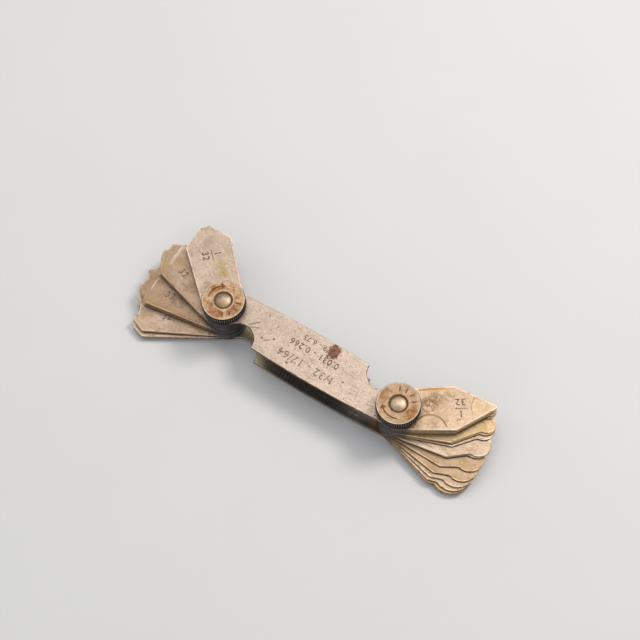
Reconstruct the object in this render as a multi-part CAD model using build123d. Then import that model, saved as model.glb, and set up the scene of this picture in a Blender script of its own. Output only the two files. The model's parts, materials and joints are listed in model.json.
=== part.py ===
from build123d import *
import math
import os

# Radius gauge set, open and fanned as it lies on a bench.  Millimetres, +Z up.
# The origin is the centre of the bottom plate's underside.  +X runs along the
# holder from the concave end's pivot to the convex end's pivot.

# ---- leaf sizes -----------------------------------------------------------
INCH = 25.4
SMALLEST_64THS = 2             # 1/32 in
LEAVES_PER_END = 16            # 1/32 in to 17/64 in, in steps of 1/64 in
LEAF_THICKNESS = 0.62
LEAF_GAP = 0.04                # film between neighbouring leaves and plates
LEAF_PITCH = LEAF_THICKNESS + LEAF_GAP
LEAF_END_RADIUS = 6.73         # round end about the pivot
LEAF_SIDE_SLOPE = 0.036        # the blank widens towards its working end
LEAF_EDGE_BREAK = 0.05
SHOULDER_RADIUS = 0.7

CONCAVE_REACH = 30.4           # pivot to the prongs
CONCAVE_TIP_HALF = 1.4         # the gable is never narrower than this
CONVEX_REACH = 30.7            # pivot to the crown of the tip circle
CONVEX_FLANK_ANGLE = 28.0      # half angle of the smallest leaf's flanks
CONVEX_FLANK_STEP = 0.15       # added for each larger leaf
NECK_BEHIND_CENTRE = 1.4       # where a flank runs into its tip circle
NECK_RADIUS = 1.8

# ---- holder ---------------------------------------------------------------
PIVOT_SPACING = 66.0
PIVOT_X = PIVOT_SPACING / 2
PLATE_THICKNESS = 1.0
PLATE_END_RADIUS = 6.4
PLATE_HALF_WIDTH = 7.92        # at the crown of the bowed long edge
PLATE_CROWN_X = 1.5            # the crown sits a little off the middle
PLATE_EDGE_BREAK = 0.12
NOTCH_X = 23.1                 # thumb notch beside each pivot
NOTCH_Y = 7.5
NOTCH_RADIUS = 5.55
POCKET_HEIGHT = LEAVES_PER_END * LEAF_PITCH + LEAF_GAP
TOP_PLATE_Z = PLATE_THICKNESS + POCKET_HEIGHT
HOLDER_TOP_Z = TOP_PLATE_Z + PLATE_THICKNESS

# ---- pivot studs and lock nuts --------------------------------------------
STUD_RADIUS = 2.6
STUD_HEAD_RADIUS = 3.5         # riveted head, flush in a 90 degree countersink
RUNNING_CLEARANCE = 0.05
NUT_RADIUS = 7.15
NUT_HEIGHT = 4.16
NUT_BOTTOM_Z = HOLDER_TOP_Z + LEAF_GAP
NUT_TOP_Z = NUT_BOTTOM_Z + NUT_HEIGHT
NUT_CHAMFER = 0.25
NUT_FOOT_CHAMFER = 0.7
NUT_RIM_WIDTH = 0.34
NUT_RECESS_DEPTH = 0.08
NUT_MOUTH_RADIUS = 3.12        # countersink round the stud's domed end
KNURL_COUNT = 60
KNURL_DEPTH = 0.3
MARK_DEPTH = 0.12              # tightening arrow and ticks in the nut's face
MARK_RADIUS = 5.0
MARK_WIDTH = 0.45
TICK_LENGTH = 1.6
ARROW_SWEEP = 68.0
ARROW_HEAD_WIDTH = 2.1
ARROW_HEAD_LENGTH = 1.4
TICK_ANGLES = (101, 127, 153, 179)   # from the arrow's tail
DOME_EDGE_Z = NUT_TOP_Z - 0.5
DOME_RISE = 0.75

# ---- the fan: leaves in a group, direction of the first, step to the next --
# Directions are in degrees from +X.  Leaves are counted from the top.
CONCAVE_FAN = ((4, 137.3, 0.3), (4, 163.2, 0.3), (4, 187.0, 0.3), (2, 206.0, 0.3),
               (2, 209.1, 0.2))
CONVEX_FAN = ((5, 34.4, -0.2), (2, 25.0, -0.4), (1, 22.4, 0.0), (2, 11.7, -0.3),
              (1, 1.8, 0.0), (1, -6.0, 0.0), (1, -10.3, 0.0), (1, -13.4, 0.0),
              (2, -14.6, 0.3))
CONCAVE_NUT_TURN = 199.0       # direction of each nut's arrow tail
CONVEX_NUT_TURN = -62.6

PIVOTS = {"concave": (-PIVOT_X, 0.0), "convex": (PIVOT_X, 0.0)}
ORIGIN = (0.0, 0.0)


def polar(radius, angle_deg, centre=ORIGIN):
    angle = math.radians(angle_deg)
    return (centre[0] + radius * math.cos(angle), centre[1] + radius * math.sin(angle))


def mirrored(point):
    return (point[0], -point[1])


def turned_half(point):
    return (-point[0], -point[1])


def ring(outer, inner, height):
    return Cylinder(outer, height, align=BOTTOM) - Cylinder(inner, height, align=BOTTOM)


BOTTOM = (Align.CENTER, Align.CENTER, Align.MIN)


# ---- leaves ---------------------------------------------------------------
def leaf_radius(index):
    return (SMALLEST_64THS + index) * INCH / 64


def size_name(index):
    top, bottom = SMALLEST_64THS + index, 64
    while top % 2 == 0:
        top, bottom = top // 2, bottom // 2
    return f"{top}_{bottom}"


def fan_angles(groups):
    return [first + step * i for count, first, step in groups for i in range(count)]


def side_half_width(x):
    return LEAF_END_RADIUS + LEAF_SIDE_SLOPE * x


def pivot_end(shoulder):
    """The two tapering sides and the round end about the pivot."""
    tangent = polar(LEAF_END_RADIUS, 90 + math.degrees(math.atan(LEAF_SIDE_SLOPE)))
    return [
        Line(shoulder, tangent),
        ThreePointArc(tangent, (-LEAF_END_RADIUS, 0), mirrored(tangent)),
        Line(mirrored(tangent), mirrored(shoulder)),
    ]


def concave_outline(index):
    """A 90 degree gable with a quarter circle cut out of its tip."""
    radius = leaf_radius(index)
    prong_half = radius / math.sqrt(2)
    tip_half = max(prong_half, CONCAVE_TIP_HALF)
    shoulder_x = (tip_half + CONCAVE_REACH - LEAF_END_RADIUS) / (1 + LEAF_SIDE_SLOPE)
    shoulder = (shoulder_x, side_half_width(shoulder_x))
    tip = (CONCAVE_REACH, tip_half)
    prong = (CONCAVE_REACH, prong_half)
    deepest = (CONCAVE_REACH + prong_half - radius, 0)
    edges = pivot_end(shoulder)
    edges += [Line(shoulder, tip), Line(mirrored(shoulder), mirrored(tip))]
    if tip_half > prong_half:
        edges += [Line(tip, prong), Line(mirrored(tip), mirrored(prong))]
    edges.append(ThreePointArc(prong, deepest, mirrored(prong)))
    return edges, shoulder


def convex_outline(index):
    """Flanks that run in to a full tip circle through a small hollow neck."""
    radius = leaf_radius(index)
    centre_x = CONVEX_REACH - radius
    flank = math.radians(CONVEX_FLANK_ANGLE + CONVEX_FLANK_STEP * index)
    behind = min(max(radius - NECK_BEHIND_CENTRE, -radius * math.sin(flank)), NECK_BEHIND_CENTRE)
    neck = (centre_x - behind, math.sqrt(radius**2 - behind**2))
    slope = math.tan(flank)
    shoulder_x = (neck[1] + neck[0] * slope - LEAF_END_RADIUS) / (LEAF_SIDE_SLOPE + slope)
    shoulder = (shoulder_x, side_half_width(shoulder_x))
    edges = pivot_end(shoulder)
    flank_edges, circle_start = flanks(shoulder, neck, flank, centre_x, radius)
    edges += flank_edges
    edges.append(ThreePointArc(circle_start, (CONVEX_REACH, 0), mirrored(circle_start)))
    return edges, shoulder


def flanks(shoulder, neck, flank, centre_x, radius):
    """Both flanks up to the tip circle, each ending in a hollow neck fillet."""
    along = (math.cos(flank), -math.sin(flank))
    outward = (math.sin(flank), math.cos(flank))
    if neck[0] - centre_x >= radius * math.sin(flank) - 1e-6:
        return [Line(shoulder, neck), Line(mirrored(shoulder), mirrored(neck))], neck
    start = (neck[0] + NECK_RADIUS * outward[0] - centre_x, neck[1] + NECK_RADIUS * outward[1])
    half = start[0] * along[0] + start[1] * along[1]
    excess = start[0] ** 2 + start[1] ** 2 - (radius + NECK_RADIUS) ** 2
    step = -half - math.sqrt(half**2 - excess)
    hollow = (start[0] + step * along[0] + centre_x, start[1] + step * along[1])
    leave = (hollow[0] - NECK_RADIUS * outward[0], hollow[1] - NECK_RADIUS * outward[1])
    share = radius / (radius + NECK_RADIUS)
    join = (centre_x + share * (hollow[0] - centre_x), share * hollow[1])
    middle_x = (leave[0] + join[0]) / 2 - hollow[0]
    middle_y = (leave[1] + join[1]) / 2 - hollow[1]
    reach = NECK_RADIUS / math.hypot(middle_x, middle_y)
    lowest = (hollow[0] + reach * middle_x, hollow[1] + reach * middle_y)
    edges = [
        Line(shoulder, leave),
        ThreePointArc(leave, lowest, join),
        Line(mirrored(shoulder), mirrored(leave)),
        ThreePointArc(mirrored(leave), mirrored(lowest), mirrored(join)),
    ]
    return edges, join


def leaf(outline, index, direction, pivot):
    edges, shoulder = outline(index)
    face = make_face(edges)
    shoulders = face.vertices().filter_by(
        lambda v: abs(v.X - shoulder[0]) < 1e-3 and abs(abs(v.Y) - shoulder[1]) < 1e-3
    )
    face = fillet(shoulders, SHOULDER_RADIUS)
    blank = extrude(face, LEAF_THICKNESS)
    flats = blank.faces().filter_by(Axis.Z)
    blank = chamfer(flats.edges(), LEAF_EDGE_BREAK)
    blank -= Cylinder(STUD_RADIUS + RUNNING_CLEARANCE, LEAF_THICKNESS, align=BOTTOM)
    level = PLATE_THICKNESS + LEAF_GAP + (LEAVES_PER_END - 1 - index) * LEAF_PITCH
    return Pos(pivot[0], pivot[1], level) * Rot(0, 0, direction) * blank


def leaves(kind, outline, groups):
    pivot = PIVOTS[kind]
    for index, direction in enumerate(fan_angles(groups)):
        yield f"{kind}_leaf_{size_name(index)}", leaf(outline, index, direction, pivot)


# ---- holder plates --------------------------------------------------------
def plate_half_outline():
    """From the concave end's round end, along one edge, round the other end."""
    near_pivot = (-PIVOT_X, 0)
    far_pivot = (PIVOT_X, 0)
    # radius of the bowed edge: it meets the round end at a tangent
    run = PIVOT_X + PLATE_CROWN_X
    rise = PLATE_HALF_WIDTH - PLATE_END_RADIUS
    bow_radius = (run**2 + PLATE_HALF_WIDTH**2 - PLATE_END_RADIUS**2) / (2 * rise)
    bow_centre = (PLATE_CROWN_X, PLATE_HALF_WIDTH - bow_radius)
    lean = math.degrees(math.atan2(near_pivot[1] - bow_centre[1], near_pivot[0] - bow_centre[0]))
    start = polar(PLATE_END_RADIUS, lean, near_pivot)
    crown = (PLATE_CROWN_X, PLATE_HALF_WIDTH)
    # corner where the bowed edge meets the thumb notch
    gap_x = NOTCH_X - bow_centre[0]
    gap_y = NOTCH_Y - bow_centre[1]
    gap = math.hypot(gap_x, gap_y)
    bow_share = math.acos((bow_radius**2 + gap**2 - NOTCH_RADIUS**2) / (2 * bow_radius * gap))
    corner_angle = math.atan2(gap_y, gap_x) + bow_share
    corner = polar(bow_radius, math.degrees(corner_angle), bow_centre)
    # straight run that is tangent to the notch and to the far round end
    notch = (NOTCH_X, NOTCH_Y)
    span = math.hypot(far_pivot[0] - NOTCH_X, far_pivot[1] - NOTCH_Y)
    towards = math.degrees(math.atan2(far_pivot[1] - NOTCH_Y, far_pivot[0] - NOTCH_X))
    spread = math.degrees(math.acos((NOTCH_RADIUS + PLATE_END_RADIUS) / span))
    leave = polar(NOTCH_RADIUS, towards - spread, notch)
    join = polar(PLATE_END_RADIUS, towards - spread + 180, far_pivot)
    notch_floor = polar(NOTCH_RADIUS, 235, notch)
    end_of_end = (PIVOT_X + PLATE_END_RADIUS, 0)
    return [
        (ThreePointArc, start, crown, corner),
        (ThreePointArc, corner, notch_floor, leave),
        (Line, leave, join),
        (ThreePointArc, join, end_of_end, turned_half(start)),
    ]


def plate(level, hole_radius):
    half = plate_half_outline()
    edges = [kind(*points) for kind, *points in half]
    edges += [kind(*[turned_half(p) for p in points]) for kind, *points in half]
    blank = extrude(make_face(edges), PLATE_THICKNESS)
    flats = blank.faces().filter_by(Axis.Z)
    blank = chamfer(flats.edges(), PLATE_EDGE_BREAK)
    for x, y in PIVOTS.values():
        blank -= Pos(x, y, 0) * Cylinder(hole_radius, PLATE_THICKNESS, align=BOTTOM)
    return Pos(0, 0, level) * blank


def bottom_plate():
    """Lower cheek, countersunk from below for the studs' riveted heads."""
    blank = plate(0, STUD_RADIUS)
    for x, y in PIVOTS.values():
        blank -= Pos(x, y, 0) * Cone(STUD_HEAD_RADIUS, STUD_RADIUS, PLATE_THICKNESS, align=BOTTOM)
    return blank


def top_plate():
    return plate(TOP_PLATE_Z, STUD_RADIUS + RUNNING_CLEARANCE)


# ---- studs and nuts -------------------------------------------------------
def stud(pivot):
    """Countersunk head, plain shank (thread drawn smooth) and domed end."""
    top = (0, DOME_EDGE_Z + DOME_RISE)
    dome_radius = (STUD_RADIUS**2 + DOME_RISE**2) / (2 * DOME_RISE)
    mid_x = STUD_RADIUS / 2
    mid_z = top[1] - dome_radius + math.sqrt(dome_radius**2 - mid_x**2)
    profile = Plane.XZ * make_face([
        Line((0, 0), (STUD_HEAD_RADIUS, 0)),
        Line((STUD_HEAD_RADIUS, 0), (STUD_RADIUS, PLATE_THICKNESS)),
        Line((STUD_RADIUS, PLATE_THICKNESS), (STUD_RADIUS, DOME_EDGE_Z)),
        ThreePointArc((STUD_RADIUS, DOME_EDGE_Z), (mid_x, mid_z), top),
        Line(top, (0, 0)),
    ])
    return Pos(pivot[0], pivot[1], 0) * revolve(profile, Axis.Z)


def knurled_ring():
    """Straight knurl: a ring of V grooves as one polygon."""
    step = 360 / KNURL_COUNT
    points = []
    for tooth in range(KNURL_COUNT):
        points.append(polar(NUT_RADIUS, tooth * step))
        points.append(polar(NUT_RADIUS - KNURL_DEPTH, (tooth + 0.5) * step))
    return extrude(make_face(Polyline(*points, close=True)), NUT_HEIGHT)


def turned_blank():
    """The nut as it leaves the lathe: chamfered, recessed and bored."""
    bore = STUD_RADIUS + RUNNING_CLEARANCE
    rim = NUT_RADIUS - NUT_CHAMFER
    floor = NUT_HEIGHT - NUT_RECESS_DEPTH
    recess = rim - NUT_RIM_WIDTH
    mouth = NUT_MOUTH_RADIUS - bore
    corners = [
        (bore, 0),
        (NUT_RADIUS - NUT_FOOT_CHAMFER, 0),
        (NUT_RADIUS, NUT_FOOT_CHAMFER),
        (NUT_RADIUS, NUT_HEIGHT - NUT_CHAMFER),
        (rim, NUT_HEIGHT),
        (recess + NUT_RECESS_DEPTH, NUT_HEIGHT),
        (recess, floor),
        (NUT_MOUTH_RADIUS, floor),
        (bore, floor - mouth),
    ]
    return revolve(Plane.XZ * make_face(Polyline(*corners, close=True)), Axis.Z)


def tightening_marks():
    """A clockwise arrow and four ticks, engraved in the nut's face."""
    outer = MARK_RADIUS + MARK_WIDTH / 2
    inner = MARK_RADIUS - MARK_WIDTH / 2
    middle = -ARROW_SWEEP / 2
    band = make_face([
        ThreePointArc(polar(outer, 0), polar(outer, middle), polar(outer, -ARROW_SWEEP)),
        Line(polar(outer, -ARROW_SWEEP), polar(inner, -ARROW_SWEEP)),
        ThreePointArc(polar(inner, -ARROW_SWEEP), polar(inner, middle), polar(inner, 0)),
        Line(polar(inner, 0), polar(outer, 0)),
    ])
    head_turn = math.degrees(ARROW_HEAD_LENGTH / MARK_RADIUS)
    head = make_face(Polyline(
        polar(MARK_RADIUS + ARROW_HEAD_WIDTH / 2, -ARROW_SWEEP),
        polar(MARK_RADIUS, -ARROW_SWEEP - head_turn),
        polar(MARK_RADIUS - ARROW_HEAD_WIDTH / 2, -ARROW_SWEEP),
        close=True,
    ))
    marks = [band, head]
    for angle in TICK_ANGLES:
        tick = Pos(MARK_RADIUS, 0) * SlotOverall(TICK_LENGTH, MARK_WIDTH)
        marks.append(Rot(0, 0, angle) * tick)
    floor = NUT_HEIGHT - NUT_RECESS_DEPTH
    return [extrude(Pos(0, 0, floor - MARK_DEPTH) * mark, 2 * MARK_DEPTH) for mark in marks]


def lock_nut(pivot, turn):
    nut = knurled_ring() & turned_blank()
    for mark in tightening_marks():
        nut -= mark
    return Pos(pivot[0], pivot[1], NUT_BOTTOM_Z) * Rot(0, 0, turn) * nut


# ---- write one file per piece ---------------------------------------------
os.makedirs("parts", exist_ok=True)

pieces = {
    "bottom_plate": bottom_plate(),
    "top_plate": top_plate(),
    "concave_end_stud": stud(PIVOTS["concave"]),
    "convex_end_stud": stud(PIVOTS["convex"]),
    "concave_end_lock_nut": lock_nut(PIVOTS["concave"], CONCAVE_NUT_TURN),
    "convex_end_lock_nut": lock_nut(PIVOTS["convex"], CONVEX_NUT_TURN),
}
pieces.update(leaves("concave", concave_outline, CONCAVE_FAN))
pieces.update(leaves("convex", convex_outline, CONVEX_FAN))

for name, shape in pieces.items():
    export_step(shape, f"parts/{name}.step")
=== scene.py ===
"""Looks for the radius gauge set: materials, size marks, floor, light and camera.

Lengths are in millimetres in this file's own numbers and in metres in Blender. The frame is the
CAD's: origin under the middle of the bottom plate, +X towards the convex end's pivot, +Z up.
"""

import json
import math

import bmesh
import bpy
from mathutils import Matrix, Vector


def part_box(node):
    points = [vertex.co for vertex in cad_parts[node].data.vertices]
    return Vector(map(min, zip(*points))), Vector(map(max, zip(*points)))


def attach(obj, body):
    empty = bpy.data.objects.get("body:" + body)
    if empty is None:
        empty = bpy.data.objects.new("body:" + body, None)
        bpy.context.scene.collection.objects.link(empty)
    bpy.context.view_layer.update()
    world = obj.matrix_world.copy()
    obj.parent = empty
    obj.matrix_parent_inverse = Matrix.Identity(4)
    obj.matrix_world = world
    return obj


MM = 0.001

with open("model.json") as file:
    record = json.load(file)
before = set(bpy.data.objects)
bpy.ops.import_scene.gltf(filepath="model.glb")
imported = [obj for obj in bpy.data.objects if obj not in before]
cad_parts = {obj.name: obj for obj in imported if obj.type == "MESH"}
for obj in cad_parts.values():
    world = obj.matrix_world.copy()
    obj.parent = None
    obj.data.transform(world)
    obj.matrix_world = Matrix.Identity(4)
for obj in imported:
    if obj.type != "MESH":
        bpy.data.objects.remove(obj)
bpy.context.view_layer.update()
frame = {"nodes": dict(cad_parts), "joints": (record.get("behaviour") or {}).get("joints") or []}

# ---- sizes the looks depend on, in millimetres ----------------------------
SIZES = ["1_32", "3_64", "1_16", "5_64", "3_32", "7_64", "1_8", "9_64",
         "5_32", "11_64", "3_16", "13_64", "7_32", "15_64", "1_4", "17_64"]
LEAF_END_RADIUS = 6.73         # round end about the pivot
LEAF_SIDE_SLOPE = 0.036        # how a leaf's half width grows towards its tip
CONCAVE_REACH = 30.4           # pivot to the prongs
CONCAVE_TIP_HALF = 1.4         # the gable is never narrower than this
CONVEX_REACH = 30.7            # pivot to the crown of the tip circle
CONVEX_FLANK_ANGLE = 29.0      # degrees, about the middle of the leaves' range
PIVOT_X = 33.0
PLATE_TOP_Z = 12.6
PLATE_HALF_WIDTH = 7.92        # at the crown of the bowed long edge
PLATE_CROWN_X = 1.5            # the crown sits a little off the middle
PLATE_BOW = 0.00125            # how fast the edge falls away from it, per mm squared
NOTCH_X = 23.1                 # thumb notch beside each pivot
NOTCH_Y = 7.5
NOTCH_RADIUS = 5.55
NUT_FACE_Z = 16.72             # bottom of the shallow recess in a nut's upper face
NUT_RIM_START = 6.5            # about where the raised rim round that recess starts
NUT_MOUTH_RADIUS = 3.12        # countersink round the stud's domed end
NUT_CREST_RADIUS = 7.15        # crests of the knurl
MARK_FILM = 0.015              # how far the numbers stand proud
MARK_WEIGHT = 0.04             # how much their strokes are thickened
LEAF_MARK_X = 19.5             # where a leaf carries its size, from the pivot
FRACTION_TOP = 2.1             # heights of the two numbers
FRACTION_BOTTOM = 2.2
FRACTION_BAR = (4.0, 0.3)
HOLDER_MARK_X = 0.7
CAP_HEIGHT = 0.70              # of the font's digits, as a share of its size


def leaf_radius(size):
    """Radius of a leaf's tip from the inch fraction in its name."""
    top, bottom = (int(word) for word in size.split("_"))
    return 25.4 * top / bottom


def end_x(node):
    """Where the pivot of a leaf's end is, along the holder."""
    return PIVOT_X if node.startswith("convex") else -PIVOT_X


def leaf_direction(node):
    """Direction in degrees in which a leaf points at rest, from its joint's folded limit."""
    joint = next(j for j in frame["joints"] if j["child"] == node)
    folded = -joint["range_deg"][0]
    return folded if node.startswith("concave") else folded - 180


# ---- shader building ------------------------------------------------------
class Shader:
    """A material's node tree, with one short method per kind of node."""

    def __init__(self, name):
        self.material = bpy.data.materials.new(name)
        self.material.use_nodes = True
        self.tree = self.material.node_tree
        self.tree.nodes.clear()
        out = self.tree.nodes.new("ShaderNodeOutputMaterial")
        self.bsdf = self.tree.nodes.new("ShaderNodeBsdfPrincipled")
        self.link(self.bsdf.outputs[0], out.inputs[0])
        self.coordinates = self.tree.nodes.new("ShaderNodeTexCoord")

    def link(self, source, target):
        self.tree.links.new(source, target)

    def put(self, socket, value):
        if isinstance(value, bpy.types.NodeSocket):
            self.link(value, socket)
        elif value is not None:
            socket.default_value = value

    def place(self, centre, turn_deg=0.0):
        """Coordinates in millimetres about centre, turned so that x runs along turn_deg."""
        node = self.tree.nodes.new("ShaderNodeMapping")
        node.vector_type = "TEXTURE"
        node.inputs["Location"].default_value = [c * MM for c in centre]
        node.inputs["Rotation"].default_value = (0, 0, math.radians(turn_deg))
        node.inputs["Scale"].default_value = (MM, MM, MM)
        self.link(self.coordinates.outputs["Object"], node.inputs["Vector"])
        return node.outputs[0]

    def stretch(self, vector, scale, turn_deg=0.0, shift=(0, 0, 0)):
        node = self.tree.nodes.new("ShaderNodeMapping")
        node.inputs["Location"].default_value = shift
        node.inputs["Rotation"].default_value = (0, 0, math.radians(turn_deg))
        node.inputs["Scale"].default_value = scale
        self.link(vector, node.inputs["Vector"])
        return node.outputs[0]

    def split(self, vector):
        node = self.tree.nodes.new("ShaderNodeSeparateXYZ")
        self.link(vector, node.inputs[0])
        return node.outputs

    def normal_z(self):
        return self.split(self.coordinates.outputs["Normal"])[2]

    def combine(self, x, y, z):
        node = self.tree.nodes.new("ShaderNodeCombineXYZ")
        for socket, value in zip(node.inputs, (x, y, z)):
            self.put(socket, value)
        return node.outputs[0]

    def math(self, operation, a, b=None):
        node = self.tree.nodes.new("ShaderNodeMath")
        node.operation = operation
        for socket, value in zip(node.inputs, (a, b)):
            self.put(socket, value)
        return node.outputs[0]

    def add(self, a, b):
        return self.math("ADD", a, b)

    def sub(self, a, b):
        return self.math("SUBTRACT", a, b)

    def mul(self, a, b):
        return self.math("MULTIPLY", a, b)

    def least(self, *values):
        result = values[0]
        for value in values[1:]:
            result = self.math("MINIMUM", result, value)
        return result

    def most(self, *values):
        result = values[0]
        for value in values[1:]:
            result = self.math("MAXIMUM", result, value)
        return result

    def far(self, vector, centre):
        """Distance across the sheet from a point, in millimetres."""
        x, y, _ = self.split(vector)
        dx, dy = self.sub(x, centre[0]), self.sub(y, centre[1])
        return self.math("SQRT", self.add(self.mul(dx, dx), self.mul(dy, dy)))

    def step(self, value, start, end, low=0.0, high=1.0):
        """Smooth change from low to high as value goes from start to end."""
        node = self.tree.nodes.new("ShaderNodeMapRange")
        node.interpolation_type = "SMOOTHSTEP"
        if start > end:
            start, end, low, high = end, start, high, low
        for name, v in (("From Min", start), ("From Max", end), ("To Min", low), ("To Max", high)):
            node.inputs[name].default_value = v
        self.put(node.inputs["Value"], value)
        return node.outputs[0]

    def noise(self, vector, scale, detail=3.0, rough=0.55, warp=0.0):
        node = self.tree.nodes.new("ShaderNodeTexNoise")
        node.inputs["Scale"].default_value = scale
        node.inputs["Detail"].default_value = detail
        node.inputs["Roughness"].default_value = rough
        node.inputs["Distortion"].default_value = warp
        self.link(vector, node.inputs["Vector"])
        return node.outputs[0]

    def spots(self, vector, scale, size, share):
        """Round specks: size is their radius in cells, share how many cells have one."""
        node = self.tree.nodes.new("ShaderNodeTexVoronoi")
        node.inputs["Scale"].default_value = scale
        self.link(vector, node.inputs["Vector"])
        chosen = self.split(node.outputs["Color"])[0]
        there = self.math("LESS_THAN", chosen, share)
        return self.mul(self.step(node.outputs["Distance"], size, 0.4 * size), there)

    def scratches(self, vector, turn_deg, shift, fine=0.9, width=0.012):
        """Thin lines along one direction: the mid level of a strongly stretched noise."""
        along = self.stretch(vector, (0.045, fine, 0.2), turn_deg, shift)
        level = self.math("ABSOLUTE", self.sub(self.noise(along, 1.0, 1.0, 0.4), 0.5))
        line = self.step(level, width, width * 0.25)
        gaps = self.noise(self.stretch(vector, (0.16, 0.16, 0.2), 0, shift), 1.0)
        return self.mul(line, self.step(gaps, 0.52, 0.62))

    def mix(self, factor, a, b):
        node = self.tree.nodes.new("ShaderNodeMix")
        node.data_type = "RGBA"
        self.put(node.inputs[0], factor)
        for socket, value in ((node.inputs[6], a), (node.inputs[7], b)):
            self.put(socket, value if isinstance(value, bpy.types.NodeSocket) else (*value, 1.0))
        return node.outputs[2]

    def bump(self, height, distance, strength):
        node = self.tree.nodes.new("ShaderNodeBump")
        node.inputs["Strength"].default_value = strength
        node.inputs["Distance"].default_value = distance * MM
        self.link(height, node.inputs["Height"])
        return node.outputs[0]

    def finish(self, color, metallic, roughness, normal):
        self.put(self.bsdf.inputs["Base Color"], color)
        self.put(self.bsdf.inputs["Metallic"], metallic)
        self.put(self.bsdf.inputs["Roughness"], roughness)
        self.link(normal, self.bsdf.inputs["Normal"])
        return self.material


# ---- steel with age -------------------------------------------------------
GRIME = (0.055, 0.042, 0.033)
STAIN = (0.40, 0.255, 0.105)
RUST = (0.36, 0.155, 0.045)
RUST_DARK = (0.11, 0.045, 0.020)
ORANGE = (0.42, 0.20, 0.06)
OLIVE = (0.36, 0.27, 0.10)
BROWN = (0.20, 0.115, 0.045)
# dark steel of the cut edges, darkened further as painted shade
SHADED_EDGE_STEEL = (0.036, 0.021, 0.011)
EDGE_RUST = (0.090, 0.042, 0.015)
# blue-black: blued steel on the knurl, and painted shade with a painted blue reflection on the
# leaves' round ends
BLUED_AND_SHADE = (0.009, 0.014, 0.023)


def shade(color, factor):
    return tuple(min(channel * factor, 1.0) for channel in color)


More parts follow.
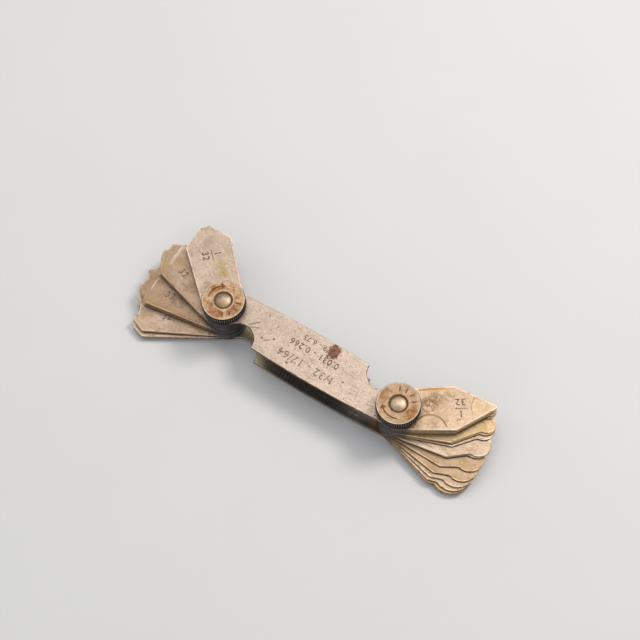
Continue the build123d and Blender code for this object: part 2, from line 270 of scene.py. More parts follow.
def aged_steel(shader, place, edge, top, tint, age, seed, gritty, wall_lighting):
    """Satin steel: grit, blotches, yellow stains, rusty edges, specks and scratches, with a painted
    highlight along the outline and painted light and shade on the cut edges.

    edge is the distance in millimetres to the sheet's outline and top the height of its upper
    face in place; age scales stains and rust, gritty the fine grain, and the last argument is
    how much painted light the cut edge gets beside the face, from painted shade at 0 to lit at 1.
    Returns the colour, the share of bare metal, the roughness and the normal.
    """
    s = shader
    own = s.stretch(place, (1, 1, 1), 0, (seed * 13.7, seed * 7.3, seed * 3.1))
    grain = s.noise(s.stretch(own, (0.6, 3.6, 2.0)), 1.0, 4.0, 0.75)
    mottle = s.noise(own, 1.0, 5.0, 0.72)
    blotch = s.noise(own, 0.15, 3.0, 0.6, 0.6)
    grit = s.noise(own, 2.6, 4.0, 0.85)

    color = s.mix(s.step(blotch, 0.35, 0.68), tint, shade(tint, 0.84))
    patchy = 0.45 + 0.45 * gritty
    color = s.mix(s.step(mottle, 0.51, 0.68, 0.0, patchy), color, shade(tint, 1.24))
    color = s.mix(s.step(mottle, 0.49, 0.32, 0.0, patchy), color, shade(tint, 0.62))
    color = s.mix(s.step(grain, 0.50, 0.30, 0.0, 0.25), color, shade(tint, 0.60))
    color = s.mix(s.step(grit, 0.48, 0.36, 0.0, gritty), color, shade(tint, 0.36))
    color = s.mix(s.step(grit, 0.53, 0.64, 0.0, gritty), color, shade(tint, 1.50))

    stain_field = s.noise(s.stretch(own, (1, 1, 1), 40, (5, 2, 0)), 0.28, 5.0, 0.66, 1.1)
    stain_start = 0.62 - 0.09 * age
    near_edge = s.step(edge, 1.6, 0.0, 0.0, 0.07)
    stain_level = s.add(stain_field, near_edge)
    stain = s.step(stain_level, stain_start, stain_start + 0.10)
    color = s.mix(s.mul(stain, 0.25 + 0.40 * age), color, STAIN)
    # the brown line that a drying drop leaves at its rim
    tide = s.step(s.math("ABSOLUTE", s.sub(stain_level, stain_start - 0.015)), 0.013, 0.003)
    color = s.mix(s.mul(tide, s.step(mottle, 0.42, 0.55, 0.0, 0.20 + 0.35 * age)), color, BROWN)

    rust_field = s.noise(s.stretch(own, (1, 1, 1), 15, (2, 9, 0)), 0.60, 5.0, 0.74, 0.7)
    rim = s.step(edge, 0.75, 0.05, 0.0, 0.15)
    rust = s.step(s.add(rust_field, rim), 0.71 - 0.07 * age, 0.80 - 0.05 * age)
    rust_color = s.mix(s.step(grit, 0.38, 0.60), RUST_DARK, RUST)
    color = s.mix(s.mul(rust, 0.80), color, rust_color)

    specks = s.most(s.spots(own, 0.45, 0.14, 0.28), s.spots(own, 1.1, 0.16, 0.20))
    color = s.mix(s.mul(specks, 0.75), color, GRIME)
    lines = s.most(s.scratches(own, 12, (1, 4, 0)), s.scratches(own, -38, (7, 2, 0)),
                   s.scratches(own, 71, (3, 8, 0)))
    color = s.mix(s.mul(lines, 0.45), color, shade(tint, 1.40))
    dents = s.scratches(own, -64, (11, 4, 0), 0.7, 0.010)
    color = s.mix(s.mul(dents, 0.35), color, GRIME)
    # painted highlight: a pale band just inside the outline, where the edge seems to catch the
    # light, weaker where rust is
    wear_and_highlight = s.mul(s.step(edge, 0.50, 0.24), s.step(rust_field, 0.64, 0.52, 0.15, 1.0))
    color = s.mix(s.mul(wear_and_highlight, 0.85), color, shade(tint, 1.50))

    # painted shade on the cut edges: dark steel with some rust between the sheets; on the lit leaves
    # painted light, with a painted highlight along the top and painted shade at the foot
    side = s.step(s.math("ABSOLUTE", s.normal_z()), 0.62, 0.30)
    side_color = s.mix(s.step(rust_field, 0.44, 0.58), SHADED_EDGE_STEEL, EDGE_RUST)
    _, _, z = s.split(place)
    side_color = s.mix(s.step(mottle, 0.40, 0.52, 0.60 * wall_lighting, wall_lighting), side_color, shade(tint, 2.40))
    lip = s.mul(s.step(z, top - 0.34, top - 0.20), s.step(mottle, 0.40, 0.50))
    side_color = s.mix(s.mul(lip, 0.12 + 0.80 * wall_lighting), side_color, shade(tint, 0.70 + 1.30 * wall_lighting))
    foot = s.step(z, top - 0.36, top - 0.50)
    side_color = s.mix(s.mul(foot, 0.92 - 0.20 * wall_lighting), side_color, shade(SHADED_EDGE_STEEL, 0.3))
    color = s.mix(s.mul(side, 0.96), color, side_color)

    dirty = s.most(rust, s.mul(specks, 0.8), s.mul(stain, 0.35), s.mul(side, 0.3 + 0.65 * wall_lighting))
    metal = s.step(dirty, 0.0, 1.0, 0.95, 0.15)
    roughness = s.add(s.step(grit, 0.30, 0.70, 0.40, 0.50), s.mul(dirty, 0.24))
    height = s.add(s.mul(grain, 0.3), s.add(s.mul(grit, 0.75), s.mul(mottle, 0.6)))
    height = s.sub(height, s.add(s.mul(specks, 0.8), s.mul(s.most(lines, dents), 0.4)))
    normal = s.bump(height, 0.05, 0.9)
    s.bsdf.inputs["Specular IOR Level"].default_value = 0.25
    return color, metal, roughness, normal


# ---- marks that one sheet has ---------------------------------------------
def patch(shader, place, color, field, centre, size, tone, strength):
    """A ragged stain of about size millimetres radius."""
    s = shader
    blot = s.mul(s.step(s.far(place, centre), size, size * 0.25), s.step(field, 0.41, 0.50))
    return s.mix(s.mul(blot, strength), color, tone)


def streak(shader, place, color, field, start, end, width, tone, strength):
    """A scratch or run of rust from start to end."""
    s = shader
    x, y, _ = s.split(place)
    length = math.dist(start, end)
    along_x, along_y = (end[0] - start[0]) / length, (end[1] - start[1]) / length
    dx, dy = s.sub(x, start[0]), s.sub(y, start[1])
    along = s.add(s.mul(dx, along_x), s.mul(dy, along_y))
    across = s.math("ABSOLUTE", s.add(s.mul(dy, along_x), s.mul(dx, -along_y)))
    ragged = s.add(across, s.mul(field, width))
    line = s.mul(s.step(ragged, width * 1.1, width * 0.6),
                 s.mul(s.step(along, -0.4, 0.6), s.step(along, length + 0.4, length - 0.6)))
    return s.mix(s.mul(line, strength), color, tone)


def ring_stain(shader, place, color, field, centre, radius, tone, strength):
    """The line left at the rim of a dried drop, fading out towards the sheet's edge."""
    s = shader
    _, y, _ = s.split(place)
    ring = s.sub(s.add(s.far(place, centre), s.mul(field, 0.8)), radius + 0.4)
    color = s.mix(s.mul(s.step(ring, 0.0, -0.8), 0.25), color, (0.58, 0.43, 0.30))
    line = s.mul(s.step(s.math("ABSOLUTE", ring), 0.42, 0.14), s.step(y, -6.7, -6.0))
    line = s.mul(line, s.step(field, 0.36, 0.52, 0.50, 1.0))
    return s.mix(s.mul(line, strength), color, tone)


def edge_band(shader, place, color, field, side, start, end, depth, tone, strength):
    """Rust along one long side of a leaf, from x = start to end."""
    s = shader
    x, y, _ = s.split(place)
    inside = s.sub(s.add(s.mul(x, LEAF_SIDE_SLOPE), LEAF_END_RADIUS), s.mul(y, side))
    ragged = s.add(inside, s.mul(field, 0.9))
    band = s.mul(s.step(ragged, depth + 0.75, depth + 0.40), s.step(inside, 0.10, 0.30))
    stretch = s.mul(s.step(x, start - 0.6, start + 0.6), s.step(x, end + 1.6, end - 0.6))
    return s.mix(s.mul(s.mul(band, stretch), strength), color, tone)


def flank_band(shader, place, color, field, side, tip_half, depth, tone, strength):
    """The same along one side of a concave leaf's gable."""
    s = shader
    x, y, _ = s.split(place)
    inside = s.mul(s.sub(s.sub(CONCAVE_REACH + tip_half, x), s.mul(y, side)), 0.7071)
    ragged = s.add(inside, s.mul(field, 0.9))
    band = s.mul(s.step(ragged, depth + 0.75, depth + 0.40), s.step(inside, 0.10, 0.30))
    return s.mix(s.mul(s.mul(band, s.step(s.mul(y, side), 1.5, 2.5)), strength), color, tone)


# Each row is what draws a mark and then its own values, with the tone and the strength last.
# Places are in the leaf's own frame: x runs from the pivot to the tip, y across the leaf.
LEAF_MARKS = {
    "concave_leaf_1_32": (
        (patch, (15.0, -2.4), 3.2, OLIVE, 0.60),
        (patch, (11.8, -2.0), 2.8, OLIVE, 0.75),
        (streak, (10.2, -2.7), (12.6, -2.3), 0.55, (0.42, 0.20, 0.04), 0.95),
        (streak, (11.0, 0.2), (13.6, 1.4), 0.30, OLIVE, 0.8),
        (streak, (11.2, 1.6), (13.2, 2.6), 0.25, OLIVE, 0.7),
        (streak, (14.2, -7.0), (16.4, -4.6), 0.25, (0.24, 0.17, 0.12), 0.8),
        (patch, (24.0, 0.4), 3.6, (0.30, 0.24, 0.19), 0.50),
        (patch, (8.8, 3.6), 2.6, BROWN, 0.45),
    ),
    "concave_leaf_3_32": (
        (edge_band, 1, 7.0, 21.5, 0.30, ORANGE, 0.80),
        (flank_band, 1, 1.68, 0.30, ORANGE, 0.75),
        (streak, (25.0, 3.6), (27.2, -4.6), 1.50, (0.56, 0.46, 0.37), 0.60),
        (streak, (26.0, 1.0), (27.6, -4.6), 0.45, (0.70, 0.58, 0.47), 0.70),
        (patch, (26.4, 4.0), 2.6, OLIVE, 0.5),
        (patch, (22.5, 0.4), 2.2, OLIVE, 0.5),
        (patch, (13.0, 2.6), 4.0, BROWN, 0.35),
    ),
    "concave_leaf_5_32": (
        (edge_band, 1, 12.0, 23.5, 1.10, (0.36, 0.21, 0.09), 0.60),
        (flank_band, 1, 2.81, 0.25, ORANGE, 0.70),
        (edge_band, 1, 6.0, 14.0, 0.30, RUST_DARK, 0.65),
        (streak, (26.4, 2.8), (26.2, -1.0), 0.42, (0.66, 0.55, 0.45), 0.80),
        (streak, (26.4, -0.6), (25.2, -3.4), 0.35, (0.62, 0.50, 0.40), 0.70),
        (patch, (16.0, 1.8), 4.4, (0.16, 0.12, 0.095), 0.60),
        (patch, (24.0, 6.0), 2.2, OLIVE, 0.6),
    ),
    "concave_leaf_7_32": (
        (patch, (8.6, 5.2), 1.8, ORANGE, 0.7),
        (patch, (21.0, 3.0), 4.5, (0.56, 0.45, 0.36), 0.5),
        (edge_band, 1, 6.0, 20.0, 0.20, BROWN, 0.7),
    ),
    "convex_leaf_1_32": (
        (edge_band, 1, 6.6, 14.8, 0.85, ORANGE, 0.90),
        (ring_stain, (9.6, -7.2), 5.2, (0.22, 0.105, 0.030), 0.95),
        (patch, (25.8, 0.4), 3.2, (0.44, 0.33, 0.16), 0.60),
        (streak, (23.8, 3.2), (22.6, 0.2), 0.40, BROWN, 0.75),
        (streak, (22.6, 0.4), (23.2, -2.6), 0.35, BROWN, 0.60),
        (patch, (12.0, 0.0), 6.0, (0.40, 0.27, 0.14), 0.50),
        (patch, (8.8, 1.4), 3.8, (0.17, 0.095, 0.040), 0.80),
        (patch, (11.8, 3.4), 3.6, (0.21, 0.130, 0.060), 0.75),
        (patch, (16.0, 4.4), 2.8, (0.27, 0.180, 0.095), 0.65),
        (patch, (10.6, -5.2), 2.8, (0.30, 0.205, 0.120), 0.60),
        (streak, (9.6, 3.4), (12.6, 0.8), 0.40, BROWN, 0.75),
        (streak, (13.0, 4.6), (16.0, 2.2), 0.35, BROWN, 0.60),
        (streak, (8.2, -0.4), (9.8, -2.2), 0.40, BROWN, 0.70),
    ),
    "convex_leaf_7_64": (
        (streak, (26.0, 1.0), (27.4, 0.0), 0.45, (0.34, 0.25, 0.05), 0.85),
        (streak, (27.3, 0.2), (27.6, -2.2), 0.45, (0.34, 0.25, 0.05), 0.85),
        (patch, (26.8, -1.4), 1.8, (0.42, 0.33, 0.12), 0.70),
        (edge_band, -1, 7.0, 18.0, 0.35, BROWN, 0.6),
    ),
    "convex_leaf_9_64": (
        (patch, (24.0, 0.0), 4.0, (0.66, 0.53, 0.42), 0.5),
    ),
    "convex_leaf_5_32": (
        (streak, (6.8, -6.2), (19.0, -7.3), 0.55, (0.62, 0.48, 0.34), 0.8),
        (streak, (7.5, -5.4), (14.0, -6.2), 0.40, BROWN, 0.8),
    ),
    "convex_leaf_3_16": (
        (patch, (25.5, -2.4), 3.0, (0.36, 0.27, 0.14), 0.90),
        (patch, (24.6, -2.2), 1.4, (0.28, 0.20, 0.09), 0.80),
    ),
    "convex_leaf_1_4": (
        (streak, (22.5, -4.2), (27.0, -5.0), 0.60, ORANGE, 0.8),
        (edge_band, -1, 10.0, 24.0, 0.45, ORANGE, 0.6),
    ),
}


def outline_distance(shader, place, kind, radius):
    """How far a point of a leaf is from its outline, in millimetres."""
    s = shader
    x, y, _ = s.split(place)
    across = s.math("ABSOLUTE", y)
    side = s.sub(s.add(s.mul(x, LEAF_SIDE_SLOPE), LEAF_END_RADIUS), across)
    if kind == "concave":
        half = radius / math.sqrt(2)
        tip_half = max(half, CONCAVE_TIP_HALF)
        flank = s.mul(s.sub(s.sub(CONCAVE_REACH + tip_half, x), across), 0.7071)
        hollow = s.sub(s.far(place, (CONCAVE_REACH + half, 0)), radius)
        return s.least(side, flank, s.sub(CONCAVE_REACH, x), hollow)
    centre = CONVEX_REACH - radius
    # inside a flank: the line at the flank's angle that touches the tip circle's width
    flank_angle = math.radians(CONVEX_FLANK_ANGLE)
    run = s.mul(s.sub(centre, x), math.sin(flank_angle))
    rise = s.mul(s.sub(radius, across), math.cos(flank_angle))
    tip = s.sub(radius, s.far(place, (centre, 0)))
    return s.most(s.least(side, s.add(run, rise)), tip)


def leaf_material(node, tint, age, seed, wall_lighting):
    """One leaf's steel, with the marks only that leaf has."""
    kind = node.split("_")[0]
    s = Shader(node + "_steel")
    low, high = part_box(node)
    place = s.place((end_x(node), 0, low.z / MM), leaf_direction(node))
    thick = (high.z - low.z) / MM
    edge = outline_distance(s, place, kind, leaf_radius(node.split("_leaf_")[1]))
    color, metal, roughness, normal = aged_steel(
        s, place, edge, thick, tint, age, seed, gritty=0.45, wall_lighting=wall_lighting)
    # grime creeps out from under the nut and from between the leaves
    reach = s.far(place, (0, 0))
    ragged = s.add(reach, s.mul(s.noise(place, 0.5, 4.0), 4.0))
    near_pivot = s.mul(s.step(ragged, 10.6, 8.4), 0.40)
    color = s.mix(near_pivot, color, (0.22, 0.13, 0.065))
    if node in LEAF_MARKS:
        field = s.noise(place, 0.75, 5.0, 0.70)
        for draw, *details in LEAF_MARKS[node]:
            color = draw(s, place, color, field, *details)
    # painted shade on the round end's cut edge, blue-black with a painted blue reflection, and a
    # painted highlight line along each leaf's upper edge, brighter on the lit leaves
    x, _, z = s.split(place)
    side = s.step(s.math("ABSOLUTE", s.normal_z()), 0.80, 0.55)
    end_noise = s.noise(s.stretch(place, (1, 1, 1), 0, (seed * 3.7, seed * 1.9, 0)), 0.7, 4.0, 0.65)
    round_end = s.mul(side, s.step(s.add(x, s.mul(end_noise, 7.0)), 9.0, 5.5))
    line = s.mul(s.step(z, 0.30, 0.42), s.step(end_noise, 0.40, 0.55))
    end_shade_and_highlight = s.mix(s.mul(line, 0.10 + 0.85 * wall_lighting * wall_lighting), BLUED_AND_SHADE, (0.17, 0.22, 0.29))
    color = s.mix(round_end, color, end_shade_and_highlight)
    return s.finish(color, metal, roughness, normal)


def plate_steel(name, level, top, seed, tint, age):
    """A holder plate's steel, before the marks that only one of the plates has.

    level is the height that the coordinates count from, and top the upper face above it.
    """
    s = Shader(name)
    place = s.place((0, 0, level))
    x, y, _ = s.split(place)
    side = s.math("SIGN", y)
    from_crown = s.sub(x, s.mul(side, PLATE_CROWN_X))
    half_width = s.sub(PLATE_HALF_WIDTH, s.mul(s.mul(from_crown, from_crown), PLATE_BOW))
    end = s.math("SIGN", x)
    notch_x = s.sub(s.mul(x, end), NOTCH_X)
    notch_y = s.sub(s.mul(y, end), NOTCH_Y)
    to_notch = s.math("SQRT", s.add(s.mul(notch_x, notch_x), s.mul(notch_y, notch_y)))
    edge = s.least(s.sub(half_width, s.mul(y, side)), s.sub(to_notch, NOTCH_RADIUS))
    color, metal, roughness, normal = aged_steel(
        s, place, edge, top, tint, age, seed, gritty=0.58, wall_lighting=0.3)
    return s, place, edge, color, metal, roughness, normal


TOP_PLATE_NICKS = (
    ((-22.8, -1.4), (-19.8, 1.5), 0.75),
    ((-22.0, -1.9), (-18.8, -0.3), 0.60),
    ((-15.6, -3.5), (-13.8, -2.1), 0.55),
    ((8.4, -3.2), (10.8, -4.4), 0.50),
)
TOP_PLATE_PITS = ((-16.5, -2.9), (-12.9, -1.2), (-5.0, -5.8), (13.7, -1.9))


def top_plate_material():
    s, place, edge, color, metal, roughness, normal = plate_steel(
        "top_plate_steel", PLATE_TOP_Z, 0.0, 3.0, (0.545, 0.435, 0.350), 0.0)
    field = s.noise(place, 0.85, 5.0, 0.72)
    # a brown line with rust along the rim
    brink = s.mul(s.step(edge, 0.42, 0.12), s.step(field, 0.44, 0.54, 0.35, 1.0))
    color = s.mix(s.mul(brink, 0.75), color, (0.20, 0.11, 0.06))
    # one thick blotch of rust near the rim
    shape = s.far(s.stretch(place, (1.0, 0.72, 1.0)), (5.6, 3.75))
    rust = s.step(s.add(shape, s.mul(s.noise(place, 0.9, 5.0, 0.75), 4.4)), 4.35, 3.85)
    rust_color = s.mix(s.step(field, 0.42, 0.54), (0.055, 0.020, 0.014), (0.22, 0.080, 0.045))
    color = s.mix(s.mul(rust, 0.92), color, rust_color)
    dull = (0.19, 0.145, 0.11)
    for start, end, width in TOP_PLATE_NICKS:
        color = streak(s, place, color, field, start, end, width, dull, 0.85)
    for spot in TOP_PLATE_PITS:
        dot = s.step(s.add(s.far(place, spot), s.mul(field, 0.5)), 0.75, 0.50)
        color = s.mix(s.mul(dot, 0.8), color, (0.11, 0.06, 0.04))
    # painted shade: the underside faces the pocket and is coloured dark
    below = s.step(s.normal_z(), -0.3, -0.8)
    color = s.mix(s.mul(below, 0.75), color, (0.12, 0.10, 0.085))
    return s.finish(color, metal, roughness, normal)


def bottom_plate_material():
    s, place, edge, color, metal, roughness, normal = plate_steel(
        "bottom_plate_steel", 0.0, 1.0, 8.0, (0.50, 0.40, 0.32), 0.4)
    x, y, _ = s.split(place)
    # painted shade: the upper face lies in the pocket under the top plate and is coloured dark
    # charcoal, mottled
    above = s.step(s.normal_z(), 0.3, 0.8)
    pocket_mottle = s.noise(s.stretch(place, (0.10, 0.7, 1)), 1.0, 3.0, 0.5)
    dark = s.mix(s.step(pocket_mottle, 0.35, 0.7), (0.160, 0.152, 0.142), (0.205, 0.197, 0.184))
    # painted light on the pocket floor near the concave end's notch, where light reaches in, and
    # rust at the far end
    field = s.noise(place, 0.5, 5.0, 0.7)
    bare = s.step(s.add(s.mul(x, -1.0), s.mul(field, 4.0)), 10.0, 21.6)
    dark = s.mix(s.mul(bare, 0.85), dark, (0.56, 0.48, 0.32))
    brown = s.step(s.add(x, s.mul(field, 5.0)), 27.0, 29.0)
    dark = s.mix(s.mul(brown, 0.75), dark, (0.40, 0.21, 0.08))
    color = s.mix(s.mul(above, 0.94), color, dark)
    # a few dark lines across the pocket floor
    wave = s.math("PINGPONG", s.add(x, s.mul(y, 0.12)), 0.62)
    window = s.mul(s.step(s.math("ABSOLUTE", s.add(x, 5.9)), 3.5, 3.1), s.step(y, -4.6, -5.2))
    lines = s.mul(s.mul(s.step(wave, 0.24, 0.08), window), above)
    color = s.mix(s.mul(lines, 0.7), color, (0.02, 0.018, 0.016))
    # painted highlight: a pale line along the rim of the upper face
    brink = s.mul(s.mul(s.step(edge, 0.55, 0.25), above), s.step(field, 0.58, 0.48))
    color = s.mix(s.mul(brink, 0.65), color, (0.42, 0.37, 0.30))
    roughness = s.sub(roughness, s.mul(above, 0.10))
    return s.finish(color, metal, roughness, normal)


def nut_material(name, pivot_x, tone, rust_spots, rustiness, seed):
    """Turned and darkened steel: a painted highlight on the rim, rusty recess, blue-black knurl with
    painted light on its crests.

    rust_spots lists where the recess is rusty, as centre and radius, and rustiness how rusty
    the rest of it is.
    """
    s = Shader(name)
    place = s.place((pivot_x, 0, 0))
    _, _, z = s.split(place)
    reach = s.far(place, (0, 0))
    own = s.stretch(place, (1, 1, 1), 0, (seed * 5.1, seed * 9.7, seed))
    field = s.noise(own, 0.55, 5.0, 0.68, 0.5)
    grains = s.noise(own, 2.3, 5.0, 0.80)
    fine = s.noise(own, 4.5, 3.0, 0.75)
    rings = s.noise(s.combine(s.mul(reach, 5.0), seed, 0.0), 1.0, 3.0, 0.6)

    face = s.mix(s.step(field, 0.36, 0.64), tone, shade(tone, 0.68))
    face = s.mix(s.step(rings, 0.35, 0.7, 0.25, 0.0), face, shade(tone, 1.22))
    face = s.mix(s.step(grains, 0.50, 0.36, 0.0, 0.80), face, (0.19, 0.100, 0.045))
    face = s.mix(s.step(fine, 0.56, 0.70, 0.0, 0.60), face, shade(tone, 1.5))
    # rust: a thin film everywhere, thick grains in the recess's spots
    thick = rustiness
    for centre, size in rust_spots:
        thick = s.most(thick, s.step(s.far(place, centre), size, size * 0.3, 0.0, 0.12))
    band = s.mul(s.step(reach, NUT_MOUTH_RADIUS + 0.08, NUT_MOUTH_RADIUS + 0.68),
                 s.step(reach, NUT_RIM_START + 0.3, NUT_RIM_START - 0.3))
    level = s.add(s.add(s.mul(field, 0.35), s.mul(grains, 0.65)), s.mul(thick, band))
    rust = s.mul(s.step(level, 0.565, 0.620), band)
    rust_color = s.mix(s.step(grains, 0.46, 0.58), (0.17, 0.050, 0.012), (0.66, 0.270, 0.070))
    face = s.mix(s.mul(rust, 0.85), face, rust_color)
    # dirt lies in the engraved marks and round the stud
    beyond_mouth = s.step(reach, NUT_MOUTH_RADIUS + 0.08, NUT_MOUTH_RADIUS + 0.28)
    engraved = s.mul(s.step(z, NUT_FACE_Z - 0.02, NUT_FACE_Z - 0.07), beyond_mouth)
    mouth = s.step(reach, NUT_MOUTH_RADIUS + 0.18, NUT_MOUTH_RADIUS - 0.12)
    dirt_color = s.mix(s.step(grains, 0.40, 0.58), (0.085, 0.036, 0.014), (0.26, 0.115, 0.038))
    face = s.mix(s.mul(engraved, 0.85), face, dirt_color)
    mouth_color = s.mix(s.step(fine, 0.42, 0.6), (0.09, 0.038, 0.014), (0.30, 0.15, 0.05))
    face = s.mix(s.mul(mouth, 0.90), face, mouth_color)
    # painted highlight: a thin pale ring where the rim's edge catches the light
    rim_zone = s.step(reach, NUT_RIM_START - 0.06, NUT_RIM_START + 0.06)
    rim = s.mul(rim_zone, s.step(field, 0.62, 0.44, 0.35, 1.0))
    face = s.mix(s.mul(rim, 0.80), face, (0.57, 0.45, 0.35))

    # the knurl is blue-black steel; its crests are rubbed bright, with painted light on them that
    # fades to painted shade towards the bottom
    outside = s.step(reach, NUT_CREST_RADIUS - 0.31, NUT_CREST_RADIUS - 0.21)
    flank = s.step(z, NUT_FACE_Z - 0.15, NUT_FACE_Z - 0.28)
    outside = s.most(outside, s.mul(flank, s.step(reach, NUT_RIM_START - 0.2, NUT_RIM_START - 0.05)))
    upright = s.step(s.math("ABSOLUTE", s.normal_z()), 0.60, 0.35)
    crest = s.mul(s.step(reach, NUT_CREST_RADIUS - 0.08, NUT_CREST_RADIUS - 0.01), upright)
    crest = s.mul(crest, s.step(field, 0.34, 0.50, 0.40, 1.0))
    low = s.step(z, NUT_FACE_Z - 3.2, NUT_FACE_Z - 1.2, 0.10, 1.0)
    knurl = s.mix(s.mul(s.mul(crest, low), 0.95), shade(BLUED_AND_SHADE, 0.5), (0.60, 0.49, 0.39))
    color = s.mix(outside, face, knurl)

    dull = s.most(s.mul(rust, 0.8), s.most(s.mul(engraved, 0.8), mouth), s.mul(outside, 0.35))
    metal = s.step(dull, 0.0, 1.0, 0.93, 0.1)
    roughness = s.add(s.step(fine, 0.3, 0.7, 0.36, 0.46), s.mul(dull, 0.28))
    height = s.add(s.mul(rings, 0.3), s.sub(s.mul(grains, 0.8), s.mul(rust, 0.5)))
    s.bsdf.inputs["Specular IOR Level"].default_value = 0.25
    return s.finish(color, metal, roughness, s.bump(height, 0.07, 0.9))


def stud_material(name, pivot_x, pale, seed):
    """A worn dome, with grime where it goes down into the nut."""
    s = Shader(name)
    place = s.place((pivot_x, 0, 0))
    _, _, z = s.split(place)
    reach = s.far(place, (0, 0))
    own = s.stretch(place, (1, 1, 1), 0, (seed, seed * 2.3, seed * 4.1))
    field = s.noise(own, 0.8, 5.0, 0.65)
    fine = s.noise(own, 5.0, 4.0, 0.75)
    color = s.mix(s.step(field, 0.42, 0.62), pale, shade(pale, 0.72))
    color = s.mix(s.step(fine, 0.52, 0.68, 0.0, 0.5), color, shade(pale, 1.3))
    # painted reflection: a warm golden patch on the dome's lower side
    warm_reflection = s.mul(s.step(s.far(place, (1.0, -1.3)), 1.6, 0.5), s.step(field, 0.60, 0.45))
    color = s.mix(s.mul(warm_reflection, 0.65), color, (0.66, 0.42, 0.15))
    foot = s.mul(s.step(reach, 2.20, 2.55), s.step(s.noise(own, 1.4, 3.0), 0.30, 0.55, 0.55, 1.0))
    color = s.mix(foot, color, (0.17, 0.08, 0.03))
    specks = s.spots(own, 1.6, 0.2, 0.2)
    color = s.mix(s.mul(specks, 0.5), color, GRIME)
    shank = s.step(z, NUT_FACE_Z - 0.5, NUT_FACE_Z - 0.9)
    color = s.mix(s.mul(shank, 0.6), color, (0.24, 0.20, 0.17))
    metal = s.step(s.most(foot, s.mul(specks, 0.5)), 0.0, 1.0, 0.90, 0.2)
    roughness = s.add(s.step(fine, 0.3, 0.7, 0.44, 0.54), s.mul(s.most(foot, shank), 0.25))
    return s.finish(color, metal, roughness, s.bump(s.add(fine, specks), 0.02, 0.6))


def ink_material(name, dark, light):
    """Etched numbers: brown, worn through in places."""
    s = Shader(name)
    place = s.place((0, 0, 0))
    wear_and_highlight = s.noise(place, 1.7, 4.0, 0.7)
    fine = s.noise(place, 9.0, 2.0, 0.6)
    color = s.mix(s.step(wear_and_highlight, 0.44, 0.60), dark, light)
    return s.finish(color, 0.6, s.step(fine, 0.3, 0.7, 0.45, 0.6), s.bump(fine, 0.01, 0.6))


# ---- size marks -----------------------------------------------------------
def text_mesh(text, height):
    """Digits of this height from Blender's own font, centred and flat in the XY plane."""
    curve = bpy.data.curves.new("digits", "FONT")
    curve.body = text
    curve.align_x = "CENTER"
    curve.align_y = "CENTER"
    curve.resolution_u = 3
    curve.size = height / CAP_HEIGHT
    curve.offset = MARK_WEIGHT
    curve.space_character = 1.12
    holder = bpy.data.objects.new("digits", curve)
    mesh = bpy.data.meshes.new_from_object(holder)
    bpy.data.objects.remove(holder)
    bpy.data.curves.remove(curve)
    return mesh


def bar_mesh(length, width):
    """A fraction's line, centred."""
    x, y = length / 2, width / 2
    mesh = bpy.data.meshes.new("bar")
    mesh.from_pydata([(-x, -y, 0), (x, -y, 0), (x, y, 0), (-x, y, 0)], [], [(0, 1, 2, 3)])
    return mesh


def film(name, parts, place):
    """Joins flat meshes, each with its own (x, y) shift in mm, into one thin raised film."""
    joined = bmesh.new()
    for mesh, (dx, dy) in parts:
        start = len(joined.verts)
        joined.from_mesh(mesh)
        joined.verts.ensure_lookup_table()
        for vertex in joined.verts[start:]:
            vertex.co += Vector((dx, dy, 0))
        bpy.data.meshes.remove(mesh)
    bmesh.ops.remove_doubles(joined, verts=joined.verts, dist=0.001)
    top = bmesh.ops.extrude_face_region(joined, geom=joined.faces[:])
    for element in top["geom"]:
        if isinstance(element, bmesh.types.BMVert):
            element.co.z += MARK_FILM
    bmesh.ops.recalc_face_normals(joined, faces=joined.faces)
    mesh = bpy.data.meshes.new(name)
    joined.to_mesh(mesh)
    joined.free()
    mesh.transform(place @ Matrix.Scale(MM, 4))
    piece = bpy.data.objects.new(name, mesh)
    bpy.context.scene.collection.objects.link(piece)
    return piece


# ---- dress the model ------------------------------------------------------
def dress(node, material):
    mesh = frame["nodes"][node].data
    mesh.materials.clear()
    mesh.materials.append(material)


dress("top_plate", top_plate_material())
dress("bottom_plate", bottom_plate_material())
dress("concave_end_stud", stud_material(
    "concave_end_stud_steel", -PIVOT_X, (0.53, 0.400, 0.290), 2.0))
dress("convex_end_stud", stud_material(
    "convex_end_stud_steel", PIVOT_X, (0.66, 0.510, 0.370), 6.0))
dress("concave_end_lock_nut", nut_material(
    "concave_end_nut_steel", -PIVOT_X, (0.54, 0.385, 0.250),
    [((0.0, -4.0), 5.5), ((-4.0, 3.0), 4.5)], 0.085, 4.0))
dress("convex_end_lock_nut", nut_material(
    "convex_end_nut_steel", PIVOT_X, (0.43, 0.292, 0.180),
    [((5.1, -0.8), 4.2), ((-5.6, 0.5), 3.0)], 0.015, 9.0))

# steel tints, counting leaves from the top down: each row's tint holds up to that leaf
TINTS = {
    "concave": (
        (1, (0.53, 0.415, 0.325)),
        (8, (0.43, 0.310, 0.220)),
        (12, (0.395, 0.272, 0.182)),
        (16, (0.505, 0.372, 0.272)),
    ),
    "convex": (
        (1, (0.580, 0.425, 0.300)),
        (7, (0.59, 0.415, 0.250)),
        (8, (0.59, 0.445, 0.335)),
        (10, (0.58, 0.440, 0.325)),
        (12, (0.465, 0.325, 0.210)),
        (14, (0.51, 0.380, 0.265)),
        (16, (0.44, 0.300, 0.180)),
    ),
}
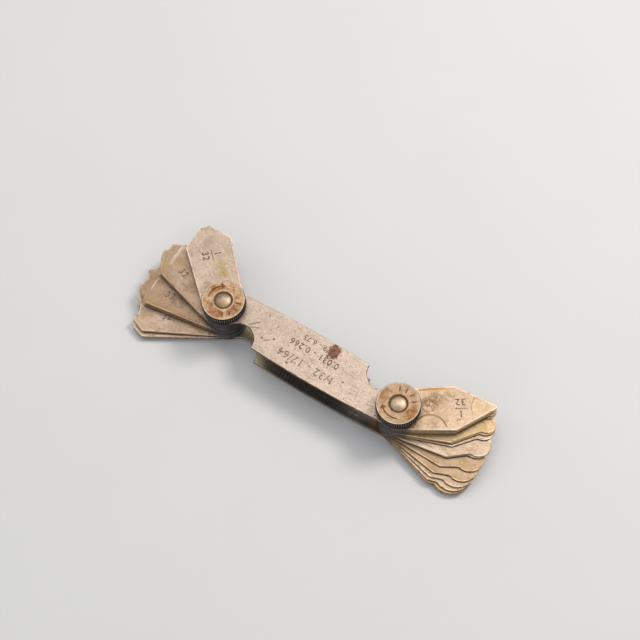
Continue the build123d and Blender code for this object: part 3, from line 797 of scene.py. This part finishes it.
# painted light and shade on each leaf's cut edge, from 0 (painted shade) to 1 (lit), from the top
# leaf down
WALL_LIGHTING = {
    "concave": (0.4, 0.1, 0.2, 0.0, 1.0, 0.1, 0.0, 0.1, 1.0, 0.0, 0.3, 0.0, 1.0, 0.0, 1.0, 0.2),
    "convex": (1.0, 0.0, 0.5, 0.0, 0.2, 1.0, 0.0, 0.2, 1.0, 0.0, 0.3, 0.1, 0.5, 0.1, 1.0, 0.2),
}
for end in ("concave", "convex"):
    for number, size in enumerate(SIZES):
        tint = next(color for last, color in TINTS[end] if number < last)
        seed = number * 1.37 + (20 if end == "convex" else 0)
        node = f"{end}_leaf_{size}"
        age = 0.35 if number == 0 else 0.7
        dress(node, leaf_material(node, tint, age, seed, WALL_LIGHTING[end][number]))

# the numbers on the leaves are stacked fractions that read towards the pivot, and those on the
# holder read towards -X
HALF_TURN = Matrix.Rotation(math.pi, 4, "Z")
clear_ink = ink_material("etched_mark", (0.17, 0.105, 0.065), (0.36, 0.26, 0.18))
worn_ink = ink_material("worn_mark", (0.23, 0.155, 0.100), (0.41, 0.30, 0.21))
faint_ink = ink_material("faint_mark", (0.33, 0.245, 0.18), (0.50, 0.40, 0.32))
for end in ("concave", "convex"):
    for number, size in enumerate(SIZES):
        node = f"{end}_leaf_{size}"
        top, bottom = size.split("_")
        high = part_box(node)[1]
        pivot = end_x(node) * MM
        turn = Matrix.Rotation(math.radians(leaf_direction(node)), 4, "Z")
        spot = Matrix.Translation((LEAF_MARK_X * MM, 0, 0))
        place = Matrix.Translation((pivot, 0, high.z)) @ turn @ spot @ HALF_TURN
        mark = film(f"{end}_mark_{size}", [
            (text_mesh(top, FRACTION_TOP), (0, 1.9)),
            (bar_mesh(*FRACTION_BAR), (0, 0.2)),
            (text_mesh(bottom, FRACTION_BOTTOM), (0, -2.05)),
        ], place)
        ink = clear_ink if number == 0 else worn_ink if number < 12 else faint_ink
        mark.data.materials.append(ink)
        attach(mark, node)

# the holder's marking: the range of radii in millimetres, decimals and fractions of an inch
for name, text, height, y, ink in (
    ("holder_metric_mark", "0.79 - 6.75", 1.7, 4.9, worn_ink),
    ("holder_decimal_mark", "0.031 - 0.266", 2.1, 1.6, clear_ink),
    ("holder_fraction_mark", "1/32 - 17/64", 2.6, -3.4, faint_ink),
):
    spot = Matrix.Translation((HOLDER_MARK_X * MM, y * MM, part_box("top_plate")[1].z))
    mark = film(name, [(text_mesh(text, height), (0, 0))], spot @ HALF_TURN)
    mark.data.materials.append(ink)
    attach(mark, "holder")


# ---- floor, light, camera -------------------------------------------------
def floor_material():
    s = Shader("pale_floor")
    place = s.place((0, 0, 0))
    field = s.noise(place, 0.02, 3.0)
    fine = s.noise(place, 1.1, 4.0, 0.7)
    color = s.mix(s.step(field, 0.3, 0.7), (0.765, 0.765, 0.760), (0.755, 0.755, 0.750))
    return s.finish(color, 0.0, 0.75, s.bump(fine, 0.05, 0.3))


floor_mesh = bpy.data.meshes.new("floor")
floor_mesh.from_pydata([(-3, -3, 0), (3, -3, 0), (3, 3, 0), (-3, 3, 0)], [], [(0, 1, 2, 3)])
floor_mesh.materials.append(floor_material())
floor = bpy.data.objects.new("floor", floor_mesh)
bpy.context.scene.collection.objects.link(floor)

world = bpy.data.worlds.new("studio")
world.use_nodes = True
world.node_tree.nodes["Background"].inputs[0].default_value = (0.93, 0.95, 1.0, 1.0)
world.node_tree.nodes["Background"].inputs[1].default_value = 0.42
bpy.context.scene.world = world


def softbox(name, direction, distance, size, power, color):
    light = bpy.data.lights.new(name, "AREA")
    light.shape = "DISK"
    light.size = size
    light.energy = power
    light.color = color
    lamp = bpy.data.objects.new(name, light)
    offset = Vector(direction).normalized() * distance
    lamp.location = offset
    lamp.rotation_euler = (-offset).to_track_quat("-Z", "Y").to_euler()
    bpy.context.scene.collection.objects.link(lamp)


softbox("key", (0.35, 0.75, 1.0), 0.9, 0.30, 3.6, (1.0, 0.96, 0.90))
softbox("overhead", (-0.25, 0.35, 0.95), 1.1, 0.8, 2.85, (1.0, 0.97, 0.93))
softbox("fill", (-0.9, -0.2, 0.8), 1.0, 0.5, 0.6, (0.93, 0.96, 1.0))
softbox("front", (0.15, -0.95, 0.50), 1.0, 0.5, 0.5, (1.0, 0.98, 0.95))
bpy.context.scene.view_settings.view_transform = "Standard"

CAMERA_TARGET = Vector((-4.24, 12.22, 12.6)) * MM
CAMERA_DISTANCE = 542.8 * MM
CAMERA_ELEVATION = math.radians(65.276)
CAMERA_AZIMUTH = math.radians(37.704)          # from -Y towards +X
CAMERA_ROLL = math.radians(-4.798)
SENSOR = 36.0
FOCAL_LENGTH = 95.63

back = Vector((
    math.sin(CAMERA_AZIMUTH) * math.cos(CAMERA_ELEVATION),
    -math.cos(CAMERA_AZIMUTH) * math.cos(CAMERA_ELEVATION),
    math.sin(CAMERA_ELEVATION),
))
level_right = (-back).cross(Vector((0, 0, 1))).normalized()
level_up = level_right.cross(-back)
right = level_right * math.cos(CAMERA_ROLL) + level_up * math.sin(CAMERA_ROLL)
up = level_up * math.cos(CAMERA_ROLL) - level_right * math.sin(CAMERA_ROLL)
pose = Matrix((right, up, back)).transposed().to_4x4()
pose.translation = CAMERA_TARGET + back * CAMERA_DISTANCE

lens = bpy.data.cameras.new("camera")
lens.sensor_width = SENSOR
lens.lens = FOCAL_LENGTH
lens.clip_start = 0.01
lens.clip_end = 20.0
camera = bpy.data.objects.new("camera", lens)
camera.matrix_world = pose
bpy.context.scene.collection.objects.link(camera)
bpy.context.scene.camera = camera

bpy.context.view_layer.update()
